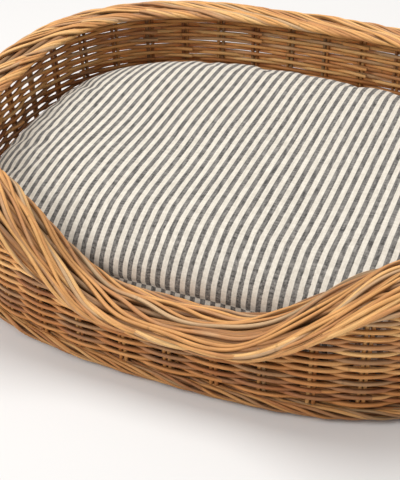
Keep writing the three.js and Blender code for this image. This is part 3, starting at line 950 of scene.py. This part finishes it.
# the bottom panel is drawn up into a slot where the zip is sewn in
SLOT_MARGIN, SLOT_CLEAR = 2.0, 1.0
tape_low, tape_high = [[value / MM for value in corner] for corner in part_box("zip_tape")]
in_slot = spots[:, 2] < tape_high[2] + SLOT_CLEAR
for axis in (0, 1):
    in_slot &= spots[:, axis] > tape_low[axis] - SLOT_MARGIN
    in_slot &= spots[:, axis] < tape_high[axis] + SLOT_MARGIN
spots[in_slot, 2] = tape_high[2] + SLOT_CLEAR
give(cushion, spots * MM)
cushion.data.materials.clear()
cushion.data.materials.append(striped_cotton)
cushion.data.shade_smooth()
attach(cushion, "cushion")
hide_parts("cover_top", "cover_base", "cushion_pad")


# ---------------------------------------------------------------- zip
# A nylon zip is sewn into the bottom panel so that the cover comes off for washing: a woven
# tape with a coil of nylon along its middle, and a small metal slider that runs on it.
def plain_finish(name, colour, roughness, metallic, grain, grain_scale):
    finish = bpy.data.materials.new(name)
    finish.use_nodes = True
    tree = finish.node_tree
    shader = tree.nodes["Principled BSDF"]
    place = tree.nodes.new("ShaderNodeTexCoord")
    noise = tree.nodes.new("ShaderNodeTexNoise")
    noise.inputs["Scale"].default_value = grain_scale
    noise.inputs["Detail"].default_value = 4.0
    wire(tree, place, "Object", noise, "Vector")
    tint = tree.nodes.new("ShaderNodeMix")
    tint.data_type = "RGBA"
    tint.inputs[6].default_value = (*[c * (1 - grain) for c in colour], 1.0)
    tint.inputs[7].default_value = (*[min(1.0, c * (1 + grain)) for c in colour], 1.0)
    tree.links.new(noise.outputs["Fac"], tint.inputs["Factor"])
    tree.links.new(tint.outputs[2], shader.inputs["Base Color"])
    rough = tree.nodes.new("ShaderNodeMapRange")
    rough.inputs["To Min"].default_value = roughness * 0.8
    rough.inputs["To Max"].default_value = roughness * 1.2
    tree.links.new(noise.outputs["Fac"], rough.inputs["Value"])
    tree.links.new(rough.outputs[0], shader.inputs["Roughness"])
    bump = tree.nodes.new("ShaderNodeBump")
    bump.inputs["Strength"].default_value = 0.3
    bump.inputs["Distance"].default_value = 0.1 * MM
    tree.links.new(noise.outputs["Fac"], bump.inputs["Height"])
    wire(tree, bump, "Normal", shader, "Normal")
    shader.inputs["Metallic"].default_value = metallic
    return finish


zip_nylon = plain_finish("zip nylon", (0.74, 0.69, 0.60), 0.55, 0.0, 0.12, 900.0)
zip_metal = plain_finish("zip metal", (0.62, 0.60, 0.57), 0.32, 1.0, 0.08, 400.0)
for node, finish in (("zip_tape", zip_nylon), ("zip_slider", zip_metal)):
    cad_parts[node].data.materials.clear()
    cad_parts[node].data.materials.append(finish)


def make_zip_tree():
    """A row of coil turns of a zip, laid between two ends."""
    tree = bpy.data.node_groups.new("zip coil", "GeometryNodeTree")
    for name, kind in (
        ("First End", "NodeSocketVector"),
        ("Last End", "NodeSocketVector"),
        ("Turns", "NodeSocketInt"),
        ("Turn Width", "NodeSocketFloat"),
        ("Thread Radius", "NodeSocketFloat"),
        ("Finish", "NodeSocketMaterial"),
    ):
        tree.interface.new_socket(name, in_out="INPUT", socket_type=kind)
    tree.interface.new_socket("Geometry", in_out="OUTPUT", socket_type="NodeSocketGeometry")
    new = tree.nodes.new
    given, result = new("NodeGroupInput"), new("NodeGroupOutput")
    row = new("GeometryNodeMeshLine")
    row.mode = "END_POINTS"
    tree.links.new(given.outputs["Turns"], row.inputs["Count"])
    tree.links.new(given.outputs["First End"], row.inputs["Start Location"])
    tree.links.new(given.outputs["Last End"], row.inputs["Offset"])
    turn = new("GeometryNodeMeshCylinder")
    turn.fill_type = "TRIANGLE_FAN"
    turn.inputs["Vertices"].default_value = 6
    tree.links.new(given.outputs["Thread Radius"], turn.inputs["Radius"])
    tree.links.new(given.outputs["Turn Width"], turn.inputs["Depth"])
    place = new("GeometryNodeInstanceOnPoints")
    tree.links.new(row.outputs["Mesh"], place.inputs["Points"])
    tree.links.new(turn.outputs["Mesh"], place.inputs["Instance"])
    place.inputs["Rotation"].default_value = (math.radians(90), 0.0, math.radians(12))
    real = new("GeometryNodeRealizeInstances")
    tree.links.new(place.outputs["Instances"], real.inputs["Geometry"])
    paint = new("GeometryNodeSetMaterial")
    tree.links.new(real.outputs["Geometry"], paint.inputs["Geometry"])
    tree.links.new(given.outputs["Finish"], paint.inputs["Material"])
    tree.links.new(paint.outputs["Geometry"], result.inputs["Geometry"])
    return tree


COIL_PITCH = 1.5
COIL_WIDTH = 3.6
COIL_THREAD = 0.5
COIL_END_GAP = 4.0
zip_tree = make_zip_tree()
middle = (tape_low[1] + tape_high[1]) / 2
coil_height = tape_low[2] - 0.2
coil = bpy.data.objects.new("zip_coil", bpy.data.meshes.new("zip_coil"))
bpy.context.collection.objects.link(coil)
lay_coil = coil.modifiers.new("zip coil", "NODES")
lay_coil.node_group = zip_tree
coil_values = {
    "First End": ((tape_low[0] + COIL_END_GAP) * MM, middle * MM, coil_height * MM),
    "Last End": ((tape_high[0] - COIL_END_GAP) * MM, middle * MM, coil_height * MM),
    "Turns": int((tape_high[0] - tape_low[0] - 2 * COIL_END_GAP) / COIL_PITCH),
    "Turn Width": COIL_WIDTH * MM,
    "Thread Radius": COIL_THREAD * MM,
    "Finish": zip_nylon,
}
for socket in zip_tree.interface.items_tree:
    if socket.in_out == "INPUT":
        lay_coil[socket.identifier] = coil_values[socket.name]
apply_all(coil)
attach(coil, "cushion")


# ---------------------------------------------------------------- floor and light
# A plain pale studio floor, a large soft light overhead and a little behind, another at the
# front left, and pale surroundings that are brighter overhead than at eye level.
FLOOR = 30.0
floor_mesh = bpy.data.meshes.new("floor")
corners = [(-FLOOR, -FLOOR, 0), (FLOOR, -FLOOR, 0), (FLOOR, FLOOR, 0), (-FLOOR, FLOOR, 0)]
floor_mesh.from_pydata(corners, [], [(0, 1, 2, 3)])
floor = bpy.data.objects.new("floor", floor_mesh)
bpy.context.collection.objects.link(floor)
floor_paint = bpy.data.materials.new("floor paint")
floor_paint.use_nodes = True
floor_shader = floor_paint.node_tree.nodes["Principled BSDF"]
floor_shader.inputs["Base Color"].default_value = (0.81, 0.801, 0.793, 1.0)
floor_shader.inputs["Roughness"].default_value = 0.9
floor_mesh.materials.append(floor_paint)

sky = bpy.data.worlds.new("sky")
sky.use_nodes = True
sky_tree = sky.node_tree
backdrop = sky_tree.nodes["Background"]
backdrop.inputs["Color"].default_value = (1.0, 0.995, 0.99, 1.0)
looking = sky_tree.nodes.new("ShaderNodeTexCoord")
height_of_look = sky_tree.nodes.new("ShaderNodeSeparateXYZ")
glow = sky_tree.nodes.new("ShaderNodeMapRange")
glow.inputs["To Min"].default_value = 0.30
glow.inputs["To Max"].default_value = 0.62
wire(sky_tree, looking, "Generated", height_of_look, "Vector")
wire(sky_tree, height_of_look, "Z", glow, "Value")
wire(sky_tree, glow, "Result", backdrop, "Strength")
bpy.context.scene.world = sky


def hang_light(name, place, aim, size, watts, colour):
    lamp = bpy.data.lights.new(name, "AREA")
    lamp.shape = "SQUARE"
    lamp.size = size
    lamp.energy = watts
    lamp.color = colour
    holder = bpy.data.objects.new(name, lamp)
    holder.location = place
    holder.rotation_euler = (Vector(aim) - Vector(place)).to_track_quat("-Z", "Y").to_euler()
    bpy.context.collection.objects.link(holder)


hang_light("key", (0.0, 0.45, 2.0), (0, 0, 0), 1.2, 24.0, (1.0, 0.99, 0.97))
hang_light("fill", (-1.4, -1.3, 1.4), (0, 0, 0.05), 1.0, 22.0, (1.0, 0.99, 0.98))
